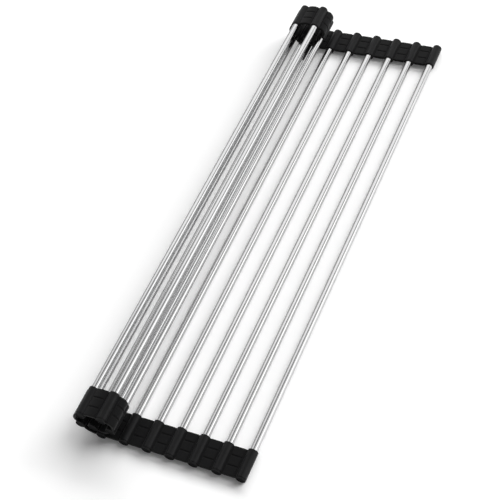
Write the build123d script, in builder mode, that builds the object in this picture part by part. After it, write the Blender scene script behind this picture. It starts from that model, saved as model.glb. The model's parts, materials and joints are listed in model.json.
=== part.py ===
"""Roll-up dish rack: steel tubes held at both ends by two bands of silicone, shown half rolled.

Each band is a row of round sleeves, one on each rod's end, joined by thin padded webs.
The strip lies flat from its free rod at +X and rolls up over itself towards -X.
Rods run along Y, the rack stands on Z = 0, and the origin is under the middle of its box.
"""

import os
from collections import namedtuple
from math import cos, degrees, hypot, radians, sin, tan

from build123d import *

# Driving sizes of the whole rack
rod_count = 12
flat_rod_count = 7
rod_pitch = 19.5
rack_length = 460.0
roll_angles = [61.5, 90.0, 46.5, 110.0, 89.0]
lift_angle = 30.0

# Steel tubes
rod_diameter = 6.0
rod_wall = 0.5
rod_end_break = 0.2

# Silicone sleeves
band_width = 24.6
sleeve_wall = 1.05
sleeve_end_wall = 1.6
sleeve_end_round = 1.3
sleeve_mouth_round = 0.4
foot_depth = 0.2
bore_clearance = 0.05
rod_end_play = 0.25

# Silicone webs between the sleeves, with three pads on each face
web_thickness = 1.6
web_inset = 0.5
pad_thickness = 2.6
pad_count = 3
pad_gap = 0.9
pad_end_gap = 1.35
pad_edge_break = 0.3
web_gap = 0.3

# Sizes worked out from the driving ones
rod_radius = rod_diameter / 2
bore_radius = rod_radius + bore_clearance
sleeve_radius = bore_radius + sleeve_wall
sleeve_diameter = 2 * sleeve_radius
rod_height = sleeve_radius - foot_depth
web_span = rod_pitch - sleeve_diameter
bore_depth = band_width - sleeve_end_wall
rod_length = rack_length - 2 * (sleeve_end_wall + rod_end_play)
web_width = band_width - 2 * web_inset
pad_width = (web_width - (pad_count - 1) * pad_gap) / pad_count
pad_span = web_span - 2 * pad_end_gap
sides = {"front": -1, "back": 1}

# A rod's place in the strip: its centre and the strip's direction there, in degrees above -X
Place = namedtuple("Place", "x z heading")


def along(place, forward, inside):
    """The point that lies so far along the strip from a rod, and so far to the roll's inside."""
    turn = radians(place.heading)
    x = place.x - forward * cos(turn) + inside * sin(turn)
    z = place.z + forward * sin(turn) + inside * cos(turn)
    return x, z


def web_radius(bend):
    """Radius of a web's middle line when the web bends evenly over its whole span."""
    return web_span / radians(bend)


def next_place(place, bend):
    """The next rod's place, past half a sleeve, one bent web and half a sleeve."""
    if bend == 0:
        return Place(*along(place, rod_pitch, 0), place.heading)
    radius = web_radius(bend)
    forward = sleeve_radius + radius * sin(radians(bend)) + sleeve_radius * cos(radians(bend))
    inside = radius * (1 - cos(radians(bend))) + sleeve_radius * sin(radians(bend))
    return Place(*along(place, forward, inside), place.heading + bend)


def leftmost(place, bend):
    """How far to -X a rod's sleeve and the web past it reach."""
    reach = place.x - sleeve_radius
    upright = 90 - place.heading
    if 0 < upright < bend:
        center = along(place, sleeve_radius, web_radius(bend))
        reach = min(reach, center[0] - web_radius(bend) - pad_thickness / 2)
    return reach


def hinge_point(place, bend):
    """The fixed line about which a web's far end turns between its flat place and its bent one."""
    rise = web_span * (1 / radians(bend) - 1 / (2 * tan(radians(bend) / 2)))
    return along(place, rod_pitch / 2, rise)


# Bends of all webs in order, the flat ones first
flat_webs = flat_rod_count - 1
roll_bends = roll_angles[: rod_count - flat_rod_count]
bends = [0] * flat_webs + roll_bends

# Full bends of all webs in order: the web under the roll lifts it until two sleeves nearly meet,
# and the free end rolls up as a mirror image of the roll
mirrored_bends = [lift_angle] + roll_bends + [lift_angle] * flat_webs
full_bends = mirrored_bends[flat_webs - 1 :: -1] + roll_bends

# Places of all rods, first with the last flat rod at X = 0, then centred on the rack's box
places = [Place((flat_rod_count - 1) * rod_pitch, rod_height, 0)]
for bend in bends:
    places.append(next_place(places[-1], bend))
right_edge = places[0].x + sleeve_radius
left_edge = min(leftmost(place, bend) for place, bend in zip(places, bends + [0]))
middle = (right_edge + left_edge) / 2
places = [Place(place.x - middle, place.z, place.heading) for place in places]
hinges = [hinge_point(place, bend) for place, bend in zip(places, full_bends)]


def cross_plane(place, y):
    """A plane across a rod: its X runs along the strip, its Y to the roll's inside."""
    turn = radians(place.heading)
    return Plane(origin=(place.x, y, place.z), x_dir=(-cos(turn), 0, sin(turn)), z_dir=(0, 1, 0))


def strip_section(place, y, thickness, start, stop, bend):
    """The cut face of a stretch of web past a rod, from start to stop along its span."""
    with BuildSketch(cross_plane(place, y)) as section:
        if bend == 0:
            with Locations((sleeve_radius + (start + stop) / 2, 0)):
                Rectangle(stop - start, thickness)
        else:
            radius = web_radius(bend)
            center = (sleeve_radius, radius)
            first = degrees(start / radius) - 90
            size = degrees((stop - start) / radius)
            with BuildLine():
                inner = CenterArc(center, radius - thickness / 2, first, size)
                outer = CenterArc(center, radius + thickness / 2, first, size)
                Line(inner @ 0, outer @ 0)
                Line(inner @ 1, outer @ 1)
            make_face()
    return section.sketch


def save(part, name):
    """Label a finished piece and write it to its own file."""
    part.label = name
    export_step(part, f"parts/{name}.step")
    return part


def build_rod(number, place):
    """A steel tube with broken edges, closed in by the sleeves at both ends."""
    with BuildPart() as rod:
        with BuildSketch(cross_plane(place, -rod_length / 2)):
            Circle(rod_radius)
            Circle(rod_radius - rod_wall, mode=Mode.SUBTRACT)
        extrude(amount=rod_length)
        rims = rod.edges().filter_by(GeomType.CIRCLE).filter_by(lambda edge: edge.radius == rod_radius)
        chamfer(rims, rod_end_break)
    return save(rod.part, f"rod_{number:02d}")


def build_sleeve(number, place, side):
    """A round silicone sleeve with a blind bore, a domed outer end and a narrow flat foot."""
    way = sides[side]
    mouth_y = way * (rack_length / 2 - band_width)
    foot_x, foot_z = along(place, 0, -rod_height)
    turn = radians(place.heading)
    foot = Plane(origin=(foot_x, mouth_y, foot_z), x_dir=(0, 1, 0), z_dir=(sin(turn), 0, cos(turn)))
    with BuildPart() as sleeve:
        with BuildSketch(cross_plane(place, mouth_y)):
            Circle(sleeve_radius)
        extrude(amount=way * band_width)
        ends = sleeve.faces().sort_by(Axis.Y)[::way]
        fillet(ends[-1].edges(), sleeve_end_round)
        fillet(sleeve.faces().sort_by(Axis.Y)[::way][0].edges(), sleeve_mouth_round)
        with BuildSketch(cross_plane(place, mouth_y)):
            Circle(bore_radius)
        extrude(amount=way * bore_depth, mode=Mode.SUBTRACT)
        split(bisect_by=foot, keep=Keep.TOP)
    return save(sleeve.part, f"{side}_sleeve_{number:02d}")


def web_pad(place, y, bend):
    """One pad with broken edges, as thick as a web and its pads on both faces."""
    with BuildPart() as pad:
        extrude(strip_section(place, y, pad_thickness, pad_end_gap, pad_end_gap + pad_span, bend), amount=pad_width)
        chamfer(pad.edges(), pad_edge_break)
    return pad.part


def build_web(number, place, end, bend, side):
    """A thin silicone web that bends evenly, with its row of pads on both faces."""
    edges_y = [sides[side] * (rack_length / 2 - inset) for inset in (web_inset, band_width - web_inset)]
    low_y = min(edges_y)
    pads = [web_pad(place, low_y + row * (pad_width + pad_gap), bend) for row in range(pad_count)]
    with BuildPart() as web:
        extrude(strip_section(place, low_y, web_thickness, 0, web_span, bend), amount=web_width)
        add(pads)
        for neighbour in (place, end):
            with BuildSketch(cross_plane(neighbour, low_y)):
                Circle(sleeve_radius + web_gap)
            extrude(amount=web_width, mode=Mode.SUBTRACT)
    return save(web.part, f"{side}_web_{number:02d}_{number + 1:02d}")


os.makedirs("parts", exist_ok=True)
pieces = []
for index, place in enumerate(places):
    pieces.append(build_rod(index + 1, place))
    for side in sides:
        pieces.append(build_sleeve(index + 1, place, side))
for index, bend in enumerate(bends):
    for side in sides:
        pieces.append(build_web(index + 1, places[index], places[index + 1], bend, side))

for index, (x, z) in enumerate(hinges):
    bend, full_bend = bends[index], full_bends[index]
    print(f"web {index + 1:02d} to {index + 2:02d}: bend {bend}, up to {full_bend}, hinge at X {x:.4f}, Z {z:.4f}")
nearest = min(
    hypot(first.x - second.x, first.z - second.z) - sleeve_diameter
    for index, first in enumerate(places)
    for second in places[index + 2 :]
)
print(f"{len(pieces)} pieces, rod centre height {rod_height:.2f}, least gap between sleeves {nearest:.2f}")
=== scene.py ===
"""Looks of the half rolled dish rack: polished tubes, moulded silicone bands, floor, light and camera.

Lengths are in metres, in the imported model's frame. Sizes and places come from the model's own nodes.
"""

import json

from collections import namedtuple
from math import atan, cos, hypot, pi, radians, sin, tan, tau

import bpy
from mathutils import Matrix, Vector


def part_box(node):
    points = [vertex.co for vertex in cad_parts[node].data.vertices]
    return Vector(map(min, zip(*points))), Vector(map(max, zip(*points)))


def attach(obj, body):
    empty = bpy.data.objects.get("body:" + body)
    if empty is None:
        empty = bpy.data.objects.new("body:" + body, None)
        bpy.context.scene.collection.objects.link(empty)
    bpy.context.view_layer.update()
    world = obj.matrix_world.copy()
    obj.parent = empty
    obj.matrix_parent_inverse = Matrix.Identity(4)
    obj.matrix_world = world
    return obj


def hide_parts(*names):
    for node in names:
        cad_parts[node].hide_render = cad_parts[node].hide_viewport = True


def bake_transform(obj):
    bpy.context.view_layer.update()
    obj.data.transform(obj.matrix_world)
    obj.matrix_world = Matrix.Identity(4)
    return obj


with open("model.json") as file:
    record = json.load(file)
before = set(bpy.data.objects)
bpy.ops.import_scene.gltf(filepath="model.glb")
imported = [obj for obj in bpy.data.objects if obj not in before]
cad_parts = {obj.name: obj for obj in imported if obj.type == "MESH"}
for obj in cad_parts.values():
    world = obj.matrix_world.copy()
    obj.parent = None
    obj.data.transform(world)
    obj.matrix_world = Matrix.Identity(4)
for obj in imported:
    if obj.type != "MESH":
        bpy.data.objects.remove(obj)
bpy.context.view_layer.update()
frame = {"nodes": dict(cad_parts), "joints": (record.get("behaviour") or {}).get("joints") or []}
mm = 0.001

# Camera, as fitted to the photograph
camera_place = (0.35017, -0.53786, 0.76356)
camera_aim = (-0.01221, -0.03199, 0.0)
camera_roll = -15.688
camera_lens = 85.15

# Floor, and the light levels on it, where all of them together are about 1
floor_half = 1.6
floor_white = 0.97
floor_lift = 0.06
world_light = 0.12

# Soft lamps, whose places and sizes are angles in degrees seen from the rack
Softbox = namedtuple("Softbox", "azimuth elevation width height level")
lamp_distance = 20.0
lamps = {
    "key": Softbox(azimuth=38, elevation=43, width=24, height=50, level=0.34),
    "back": Softbox(azimuth=88, elevation=30, width=100, height=24, level=0.64),
}

# Level cards high over the rack: a dark strip with edges given as (x, y), and a paler panel on its left,
# split in two across the rack
card_height = 1.2
card_left = -1.5
dark_strip_left = [(-0.45, -0.1), (-0.32, 0.31), (0.37, 0.78), (0.92, 1.72)]
dark_strip_right = [(0.30, -0.1), (0.40, 0.31), (0.73, 0.78), (1.72, 1.72)]
panel_split = (0.03, 0.55)
dark_strip_glow = 0.25
near_panel_glow = 0.9
far_panel_glow = 1.25

# Upright cards beside the rack: feet and heads as (x, z), ends as y
side_card_front = -0.2
left_card_back = 1.5
left_card_foot = (-0.9, 0.02)
left_card_head = (-0.9, 0.5)
left_card_glow = 0.35
right_card_back = 1.3
right_card_foot = (1.3, 0.25)
right_card_head = (1.1, 0.95)
right_card_glow = 1.8

# Where most of a noise's values lie
noise_low, noise_high = 0.3, 0.7

# Steel: a cloudy colour and gloss along each tube
steel_low = (0.64, 0.64, 0.645)
steel_high = (0.67, 0.67, 0.67)
# A grey tint at grazing angles that darkens the tubes' edges: painted shade, standing in for the shaded floor
# that the edges reflect
steel_edge_painted_shade = (0.5, 0.5, 0.5, 1)
steel_roughness = (0.10, 0.14)
cloud_scale = 60
cloud_stretch = (1, 0.2, 1)

# Silicone: an uneven bloom, and a fine moulded grain in its surface
bloom_scale = 90
bloom_dark_share = 0.75
bloom_roughness = 0.05
grain_scale = 2600
grain_height = 0.08 * mm
grain_strength = 0.5

# Tube details
rod_segments = 48
tube_bore_radius = 2.5 * mm
tube_break = 0.2 * mm
tube_sharp = 30

# Sleeve details that are too fine for the model's own sleeves
sleeve_segments = 64
bore_depth = 23 * mm
bore_radius = 3.05 * mm
mouth_sink = 0.45 * mm
mouth_flare = 0.4 * mm
mouth_slope_shares = (0.35, 0.4)
mouth_round = 0.4 * mm
rim_width = 0.8 * mm
rim_round = 0.35 * mm
rim_step = 0.15 * mm
rim_groove = 0.55 * mm
rim_groove_shares = (0.7, 0.3)
rim_depth = 0.45 * mm
end_recess = 0.35 * mm
pole_share = 0.02
end_ring_shares = (0.5, pole_share)
smooth_margin = 0.3 * mm
arc_steps = 5

# Web details, close to the model's: three pads on each face, a little thinner than its own so that they
# clear the sleeves when the strip is rolled up
web_half = 0.8 * mm
pad_half = 1.22 * mm
pad_count = 3
pad_gap = 0.9 * mm
pad_end_gap = 1.35 * mm
pad_edge = 0.35 * mm
pad_steps = 5
web_corner = 0.4 * mm
corner_steps = 4
root_flare = 0.1 * mm
root_sink = 0.9 * mm
web_steps = 7
end_gap_shares = (0.3, 0.6, 0.9)
edge_shares = (0.0, 0.06, 0.2, 0.45, 0.75, 1.0)
piece_sharp = 50


def middle(node):
    """The middle of a node's box."""
    low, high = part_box(node)
    return (low + high) / 2


# Sizes read from the model
rod_count = sum(name.startswith("rod_") for name in frame["nodes"])
sleeve_low, sleeve_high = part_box("front_sleeve_01")
sleeve_radius = (sleeve_high.x - sleeve_low.x) / 2
band_width = sleeve_high.y - sleeve_low.y
rod_height = middle("rod_01").z
rod_low, rod_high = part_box("rod_01")
rod_radius = (rod_high.z - rod_low.z) / 2
rod_pitch = middle("rod_01").x - middle("rod_02").x
web_span = rod_pitch - 2 * sleeve_radius

# Each web's bend at rest: a joint of the roll opens from its bend to flat
bends = {n: 0.0 for n in range(1, rod_count)}
for joint in frame["joints"]:
    if joint["name"].startswith("unroll"):
        bends[int(joint["name"].split("_")[1])] = radians(joint["range_deg"][1])


class Place:
    """A rod's centre and the strip's direction there, as an angle above -X."""

    def __init__(self, number, heading):
        center = middle(f"rod_{number:02d}")
        self.x, self.z, self.heading = center.x, center.z, heading

    def along(self, forward, inside, y=0.0):
        """The point so far along the strip from the rod, and so far to the roll's inside."""
        x = self.x - forward * cos(self.heading) + inside * sin(self.heading)
        z = self.z + forward * sin(self.heading) + inside * cos(self.heading)
        return Vector((x, y, z))


places = {}
heading = 0.0
for number in range(1, rod_count + 1):
    places[number] = Place(number, heading)
    heading += bends.get(number, 0.0)


# Materials


def new_material(name):
    """An empty node material, with its nodes, its links and its shader."""
    material = bpy.data.materials.new(name)
    material.use_nodes = True
    nodes = material.node_tree.nodes
    return material, nodes, material.node_tree.links, nodes["Principled BSDF"]


def noise(nodes, links, scale, detail, stretch=(1, 1, 1)):
    """Noise in the piece's own coordinates, stretched by the given scale on each axis."""
    place = nodes.new("ShaderNodeTexCoord")
    mapping = nodes.new("ShaderNodeMapping")
    mapping.inputs["Scale"].default_value = stretch
    texture = nodes.new("ShaderNodeTexNoise")
    texture.inputs["Scale"].default_value = scale
    texture.inputs["Detail"].default_value = detail
    links.new(place.outputs["Object"], mapping.inputs["Vector"])
    links.new(mapping.outputs["Vector"], texture.inputs["Vector"])
    return texture.outputs["Fac"]


def spread(nodes, links, value, low, high):
    """The noise's value, mapped from its usual range to low and high."""
    span = nodes.new("ShaderNodeMapRange")
    span.inputs["From Min"].default_value = noise_low
    span.inputs["From Max"].default_value = noise_high
    span.inputs["To Min"].default_value = low
    span.inputs["To Max"].default_value = high
    links.new(value, span.inputs["Value"])
    return span.outputs["Result"]


def mixed_color(nodes, links, value, low, high):
    """A colour between low and high, by the noise's value."""
    ramp = nodes.new("ShaderNodeValToRGB")
    ramp.color_ramp.elements[0].position = noise_low
    ramp.color_ramp.elements[1].position = noise_high
    ramp.color_ramp.elements[0].color = (*low, 1)
    ramp.color_ramp.elements[1].color = (*high, 1)
    links.new(value, ramp.inputs["Fac"])
    return ramp.outputs["Color"]


def bumped(nodes, links, shader, height, distance, strength):
    """Gives the shader a surface that the height bumps."""
    bump = nodes.new("ShaderNodeBump")
    bump.inputs["Strength"].default_value = strength
    bump.inputs["Distance"].default_value = distance
    links.new(height, bump.inputs["Height"])
    links.new(bump.outputs["Normal"], shader.inputs["Normal"])


def steel_material():
    """Polished stainless tube, a little cloudy along its length, with painted shade on its edges from a grey
    edge tint.
    """
    material, nodes, links, shader = new_material("polished_steel")
    clouds = noise(nodes, links, cloud_scale, detail=3.0, stretch=cloud_stretch)
    links.new(mixed_color(nodes, links, clouds, steel_low, steel_high), shader.inputs["Base Color"])
    links.new(spread(nodes, links, clouds, *steel_roughness), shader.inputs["Roughness"])
    shader.inputs["Metallic"].default_value = 1.0
    # The grey edge tint is painted shade on the tubes' edges
    shader.inputs["Specular Tint"].default_value = steel_edge_painted_shade
    return material


def silicone_material(name, shade, gloss, roughness, sheen):
    """Black silicone with a fine moulded grain and a little uneven bloom."""
    material, nodes, links, shader = new_material(name)
    bloom = noise(nodes, links, bloom_scale, detail=4.0)
    grain = noise(nodes, links, grain_scale, detail=2.0)
    dark = tuple(bloom_dark_share * part for part in shade)
    rough = spread(nodes, links, bloom, roughness - bloom_roughness, roughness + bloom_roughness)
    links.new(mixed_color(nodes, links, bloom, dark, shade), shader.inputs["Base Color"])
    links.new(rough, shader.inputs["Roughness"])
    bumped(nodes, links, shader, grain, grain_height, grain_strength)
    shader.inputs["Specular IOR Level"].default_value = gloss
    shader.inputs["Sheen Weight"].default_value = sheen
    return material


steel = steel_material()
# Sleeves are satin and webs matt in gloss and roughness. The sleeves' shade, about twice the webs', is
# painted light that makes the ridge tops lighter than the webs.
sleeve_silicone = silicone_material(
    "satin_silicone_painted_light", shade=(0.0072, 0.0072, 0.0075), gloss=0.14, roughness=0.4, sheen=0.015
)
web_silicone = silicone_material(
    "matt_silicone_painted_shade", shade=(0.0035, 0.0035, 0.0037), gloss=0.075, roughness=0.6, sheen=0.08
)
end_silicone = silicone_material(
    "dull_silicone", shade=(0.017, 0.017, 0.0175), gloss=0.03, roughness=0.7, sheen=0.0
)


# Pieces


def new_piece(name, vertices, faces, material, sharp=piece_sharp):
    """A piece of the rack, smooth but for edges sharper than the given angle."""
    mesh = bpy.data.meshes.new(name)
    mesh.from_pydata([tuple(v) for v in vertices], [], faces)
    mesh.validate()
    mesh.update()
    mesh.shade_smooth()
    mesh.set_sharp_from_angle(angle=radians(sharp))
    mesh.materials.append(material)
    piece = bpy.data.objects.new(name, mesh)
    bpy.context.scene.collection.objects.link(piece)
    return piece


def rings_to_faces(ring_count, ring_size, flip):
    """Quads between closed rings that lie one after another, and a cap on the first and the last."""
    faces = []
    for ring in range(ring_count - 1):
        for step in range(ring_size):
            a = ring * ring_size + step
            b = ring * ring_size + (step + 1) % ring_size
            faces.append((a, b, b + ring_size, a + ring_size))
    faces.append(tuple(reversed(range(ring_size))))
    last = (ring_count - 1) * ring_size
    faces.append(tuple(range(last, last + ring_size)))
    return [tuple(reversed(face)) for face in faces] if flip else faces


def arc_points(center, radius, start, stop):
    """Points of an arc in (depth, radius) from one angle to another, in degrees."""
    points = []
    for step in range(arc_steps + 1):
        angle = radians(start + (stop - start) * step / arc_steps)
        points.append((center[0] + radius * cos(angle), center[1] + radius * sin(angle)))
    return points


def add_rod(number):
    """One thin steel tube with broken edges, open at both ends inside its sleeves."""
    place = places[number]
    node = f"rod_{number:02d}"
    low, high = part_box(node)
    profile = [
        (low.y, tube_bore_radius),
        (low.y, rod_radius - tube_break),
        (low.y + tube_break, rod_radius),
        (high.y - tube_break, rod_radius),
        (high.y, rod_radius - tube_break),
        (high.y, tube_bore_radius),
    ]
    vertices = []
    for y, radius in profile:
        for step in range(rod_segments):
            angle = tau * step / rod_segments
            vertices.append(place.along(radius * cos(angle), radius * sin(angle), y))
    faces = []
    for ring in range(len(profile)):
        for step in range(rod_segments):
            a = ring * rod_segments + step
            b = ring * rod_segments + (step + 1) % rod_segments
            c = (ring + 1) % len(profile) * rod_segments
            faces.append((a, b, c + (step + 1) % rod_segments, c + step))
    piece = new_piece(f"steel_tube_{number:02d}", vertices, faces, steel, sharp=tube_sharp)
    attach(piece, f"link_{number:02d}")
    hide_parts(node)


def mouth_profile():
    """The bore's floor, its wall and the flared mouth, in (depth, radius)."""
    depth_share, radius_share = mouth_slope_shares
    floor = [(bore_depth, bore_radius * pole_share), (bore_depth, bore_radius)]
    slope = (mouth_sink * depth_share, bore_radius + mouth_flare * radius_share)
    lip = arc_points((mouth_round, sleeve_radius - mouth_round), mouth_round, start=180, stop=90)
    return floor + [(mouth_sink, bore_radius), slope, (0, bore_radius + mouth_flare)] + lip


def rim_profile():
    """The groove behind the rim, and the rim round to the sleeve's end, in (depth, radius)."""
    start = band_width - rim_width
    floor = [(start - rim_groove * share, sleeve_radius - rim_depth) for share in rim_groove_shares]
    groove = [(start - rim_groove, sleeve_radius), *floor, (start, sleeve_radius - rim_step)]
    return groove + arc_points((band_width - rim_round, land_radius), rim_round, start=90, stop=0)


def end_profile():
    """The recessed end face, ring by ring to its middle, in (depth, radius)."""
    depth = band_width - end_recess
    return [(depth, land_radius - end_recess)] + [(depth, sleeve_radius * share) for share in end_ring_shares]


land_radius = sleeve_radius - rim_step - rim_round
body_end = band_width - rim_width - rim_groove - smooth_margin
body_profile = [(depth, sleeve_radius) for depth in (mouth_round + smooth_margin, band_width / 2, body_end)]
sleeve_profile = mouth_profile() + body_profile + rim_profile() + end_profile()

# The end's faces, in a silicone of their own, start at the rim's last ring
first_end_ring = len(sleeve_profile) - len(end_profile()) - 1


def add_sleeve(side, way, number):
    """One round sleeve with a blind bore, a ringed closed end and a narrow flat foot."""
    place = places[number]
    node = f"{side}_sleeve_{number:02d}"
    low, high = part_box(node)
    mouth_y = high.y if way < 0 else low.y
    # The foot is as far from its rod as the floor is from the flat rods
    foot = -rod_height
    vertices = []
    for depth, radius in sleeve_profile:
        for step in range(sleeve_segments):
            angle = tau * step / sleeve_segments
            inside = max(radius * sin(angle), foot)
            vertices.append(place.along(radius * cos(angle), inside, mouth_y + way * depth))
    faces = rings_to_faces(len(sleeve_profile), sleeve_segments, flip=way > 0)
    piece = new_piece(f"{side}_band_sleeve_{number:02d}", vertices, faces, sleeve_silicone)
    piece.data.materials.append(end_silicone)
    for face in list(piece.data.polygons)[first_end_ring * sleeve_segments :]:
        face.material_index = 1
    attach(piece, f"link_{number:02d}")
    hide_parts(node)


def round_rise(share):
    """A quarter round from 0 to 1."""
    share = min(max(share, 0.0), 1.0)
    return (1 - (1 - share) ** 2) ** 0.5


def pad_rows(low_y, high_y):
    """The first and last Y of each pad in a row across the band."""
    width = (high_y - low_y - (pad_count - 1) * pad_gap) / pad_count
    starts = [low_y + row * (width + pad_gap) for row in range(pad_count)]
    return [(start, start + width) for start in starts]


def rise_across(y, rows):
    """How much of its full rise the pad row has at this Y: none in the grooves."""
    for index, (first, last) in enumerate(rows):
        if first <= y <= last:
            from_first = 1.0 if index == 0 else round_rise((y - first) / pad_edge)
            from_last = 1.0 if index == pad_count - 1 else round_rise((last - y) / pad_edge)
            return min(from_first, from_last)
    return 0.0


def half_thickness(s, y, rows):
    """Half the web's thickness at s along its span and at Y."""
    from_end = min(s, web_span - s)
    along = round_rise((from_end - pad_end_gap) / pad_edge) if from_end > pad_end_gap else 0.0
    pad = (pad_half - web_half) * along * rise_across(y, rows)
    root = min(max(0.0, 1 - from_end / pad_end_gap), 1.0)
    return web_half + pad + root_flare * root**2


def web_stations():
    """Places along the span at which the web's cross sections stand."""
    near = [-root_sink, 0.0] + [share * pad_end_gap for share in end_gap_shares]
    near += [pad_end_gap + pad_edge * share for share in edge_shares]
    interior = web_span - 2 * near[-1]
    middle_part = [near[-1] + interior * step / web_steps for step in range(1, web_steps)]
    return near + middle_part + [web_span - s for s in reversed(near)]


def web_rows_y(rows):
    """Places across the band at which the web's top and bottom have points."""
    ys = []
    for index, (first, last) in enumerate(rows):
        inner_first = first + (web_corner if index == 0 else pad_edge)
        inner_last = last - (web_corner if index == pad_count - 1 else pad_edge)
        inner_step = (inner_last - inner_first) / pad_steps
        if index > 0:
            ys += [first + pad_edge * share for share in edge_shares[:-1]]
        ys += [inner_first + inner_step * step for step in range(pad_steps + 1)]
        if index < pad_count - 1:
            ys += [last - pad_edge * share for share in reversed(edge_shares[:-1])]
            ys.append(last + pad_gap / 2)
    return ys


def web_ring(s, low_y, high_y, rows, ys):
    """One cross section of the web as (y, height) points: the top, then the bottom back again."""
    top = [(y, half_thickness(s, y, rows)) for y in ys]
    low_corner = []
    high_corner = []
    for step in range(1, corner_steps + 1):
        angle = pi / 2 * step / corner_steps
        inset = web_corner * (1 - sin(angle))
        drop = web_corner * (1 - cos(angle))
        low_corner.append((low_y + inset, top[0][1] - drop))
        high_corner.append((high_y - inset, top[-1][1] - drop))
    ring = low_corner[::-1] + top + high_corner
    return ring + [(y, -height) for y, height in reversed(ring)]


def web_point(place, bend, s, height, y):
    """The place of a web's point at s along its bent middle line, height to the roll's inside."""
    if bend == 0:
        return place.along(sleeve_radius + s, height, y)
    radius = web_span / bend
    turned = min(max(s, 0.0), web_span) / radius
    past = s - turned * radius
    forward = sleeve_radius + (radius - height) * sin(turned) + past * cos(turned)
    inside = radius - (radius - height) * cos(turned) + past * sin(turned)
    return place.along(forward, inside, y)


def add_web(side, number):
    """One padded web, rooted in both its sleeves, built bent as its joint is at rest."""
    node = f"{side}_web_{number:02d}_{number + 1:02d}"
    low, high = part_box(node)
    place, bend = places[number], bends[number]
    rows = pad_rows(low.y, high.y)
    ys = web_rows_y(rows)
    stations = web_stations()
    vertices = []
    for s in stations:
        ring = web_ring(s, low.y, high.y, rows, ys)
        vertices += [web_point(place, bend, s, height, y) for y, height in ring]
    faces = rings_to_faces(len(stations), len(ring), flip=False)
    name = f"{side}_band_web_{number:02d}_{number + 1:02d}"
    piece = new_piece(name, vertices, faces, web_silicone)
    start = web_point(place, bend, 0.0, 0.0, 0.0)
    end = web_point(place, bend, web_span, 0.0, 0.0)
    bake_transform(piece)
    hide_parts(node)


for number in range(1, rod_count + 1):
    add_rod(number)
for side, way in (("front", -1), ("back", 1)):
    for number in range(1, rod_count + 1):
        add_sleeve(side, way, number)
    for number in range(1, rod_count):
        add_web(side, number)


# Floor, light and camera


def add_white_view(nodes, links, shown, lit):
    """A strength with one value where it is seen, reflected or seen through, and another as light."""
    path = nodes.new("ShaderNodeLightPath")
    seen = nodes.new("ShaderNodeMath")
    seen.operation = "MAXIMUM"
    links.new(path.outputs["Is Camera Ray"], seen.inputs[0])
    links.new(path.outputs["Is Glossy Ray"], seen.inputs[1])
    seen_through = nodes.new("ShaderNodeMath")
    seen_through.operation = "MAXIMUM"
    links.new(seen.outputs["Value"], seen_through.inputs[0])
    links.new(path.outputs["Is Transmission Ray"], seen_through.inputs[1])
    level = nodes.new("ShaderNodeMapRange")
    level.inputs["To Min"].default_value = lit
    level.inputs["To Max"].default_value = shown
    links.new(seen_through.outputs["Value"], level.inputs["Value"])
    return level.outputs["Result"]


def add_floor():
    """A plain white floor, level with the rack's feet, lifted a little to white where it is seen."""
    corners = [(x * floor_half, y * floor_half, 0) for x, y in ((-1, -1), (1, -1), (1, 1), (-1, 1))]
    mesh = bpy.data.meshes.new("floor")
    mesh.from_pydata(corners, [], [(0, 1, 2, 3)])
    material, nodes, links, shader = new_material("white_floor")
    shader.inputs["Base Color"].default_value = (floor_white, floor_white, floor_white, 1)
    shader.inputs["Roughness"].default_value = 1.0
    shader.inputs["Specular IOR Level"].default_value = 0.0
    shader.inputs["Emission Color"].default_value = (1, 1, 1, 1)
    links.new(add_white_view(nodes, links, shown=floor_lift, lit=0.0), shader.inputs["Emission Strength"])
    mesh.materials.append(material)
    floor = bpy.data.objects.new("floor", mesh)
    bpy.context.scene.collection.objects.link(floor)


def add_world(light):
    """Soft light from all round, which is seen and reflected as white."""
    world = bpy.data.worlds.new("studio")
    bpy.context.scene.world = world
    world.use_nodes = True
    nodes, links = world.node_tree.nodes, world.node_tree.links
    background = nodes["Background"]
    background.inputs["Color"].default_value = (1, 1, 1, 1)
    links.new(add_white_view(nodes, links, shown=1.0, lit=light), background.inputs["Strength"])


def facing_share(width, height):
    """The share of a hemisphere's light that comes from a panel square on, sized in its own distance."""
    first, second = width / 2, height / 2
    share = first / hypot(1, first) * atan(second / hypot(1, first))
    share += second / hypot(1, second) * atan(first / hypot(1, second))
    return 2 / pi * share


def add_softbox(name, box):
    """A large soft lamp, neither seen nor reflected, that gives the floor its level of light."""
    turn, rise = radians(box.azimuth), radians(box.elevation)
    place = lamp_distance * Vector((cos(rise) * cos(turn), cos(rise) * sin(turn), sin(rise)))
    width, height = [2 * tan(radians(angle) / 2) for angle in (box.width, box.height)]
    light = bpy.data.lights.new(name, "AREA")
    light.shape = "RECTANGLE"
    light.size, light.size_y = lamp_distance * width, lamp_distance * height
    radiance = box.level / (facing_share(width, height) * sin(rise))
    light.energy = radiance * pi * light.size * light.size_y
    lamp = bpy.data.objects.new(name, light)
    lamp.matrix_world = Matrix.Translation(place) @ (-place).to_track_quat("-Z", "Y").to_matrix().to_4x4()
    lamp.visible_camera = lamp.visible_glossy = False
    bpy.context.scene.collection.objects.link(lamp)


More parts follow.
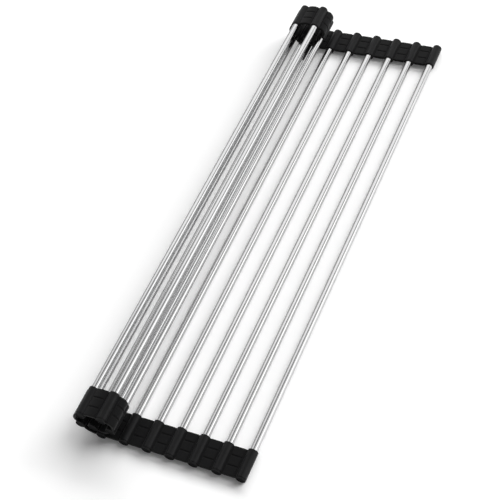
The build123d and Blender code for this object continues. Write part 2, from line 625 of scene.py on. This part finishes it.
def add_camera():
    """A camera where the photograph was taken from, rolled as it was."""
    data = bpy.data.cameras.new("camera")
    data.lens = camera_lens
    camera = bpy.data.objects.new("camera", data)
    direction = Vector(camera_aim) - Vector(camera_place)
    turn = direction.to_track_quat("-Z", "Y").to_matrix().to_4x4()
    roll = Matrix.Rotation(radians(camera_roll), 4, "Z")
    camera.matrix_world = Matrix.Translation(camera_place) @ turn @ roll
    bpy.context.scene.collection.objects.link(camera)
    bpy.context.scene.camera = camera


def level_card(left, right):
    """Corners and faces of a level card between two edges, both given as (x, y)."""
    corners = [(x, y, card_height) for x, y in left + right]
    count = len(left)
    return corners, [(step, step + 1, count + step + 1, count + step) for step in range(count - 1)]


def panel_card(right):
    """Corners and faces of a level card from the panel's straight left edge to the given one."""
    return level_card([(card_left, y) for _, y in right], right)


def side_card(foot, head, back):
    """Corners and face of an upright card from its foot to its head, both given as (x, z)."""
    (foot_x, foot_z), (head_x, head_z) = foot, head
    low = [(foot_x, side_card_front, foot_z), (foot_x, back, foot_z)]
    high = [(head_x, back, head_z), (head_x, side_card_front, head_z)]
    return low + high, [(0, 1, 2, 3)]


def add_card(name, panel, glow):
    """A grey card that shows in reflections alone."""
    mesh = bpy.data.meshes.new(name)
    corners, faces = panel
    mesh.from_pydata(corners, [], faces)
    material, nodes, links, shader = new_material(name)
    shader.inputs["Base Color"].default_value = (0, 0, 0, 1)
    shader.inputs["Specular IOR Level"].default_value = 0.0
    shader.inputs["Emission Color"].default_value = (1, 1, 1, 1)
    shader.inputs["Emission Strength"].default_value = glow
    mesh.materials.append(material)
    card = bpy.data.objects.new(name, mesh)
    card.visible_camera = card.visible_diffuse = card.visible_shadow = card.visible_transmission = False
    bpy.context.scene.collection.objects.link(card)


add_floor()
add_world(world_light)
for name, box in lamps.items():
    add_softbox(name, box)
add_card("dark_strip", level_card(dark_strip_left, dark_strip_right), dark_strip_glow)
add_card("pale_panel", panel_card([panel_split] + dark_strip_left[2:]), far_panel_glow)
add_card("dim_panel", panel_card(dark_strip_left[:2] + [panel_split]), near_panel_glow)
add_card("left_card", side_card(left_card_foot, left_card_head, left_card_back), left_card_glow)
add_card("right_card", side_card(right_card_foot, right_card_head, right_card_back), right_card_glow)
add_camera()
bpy.context.scene.view_settings.view_transform = "Standard"
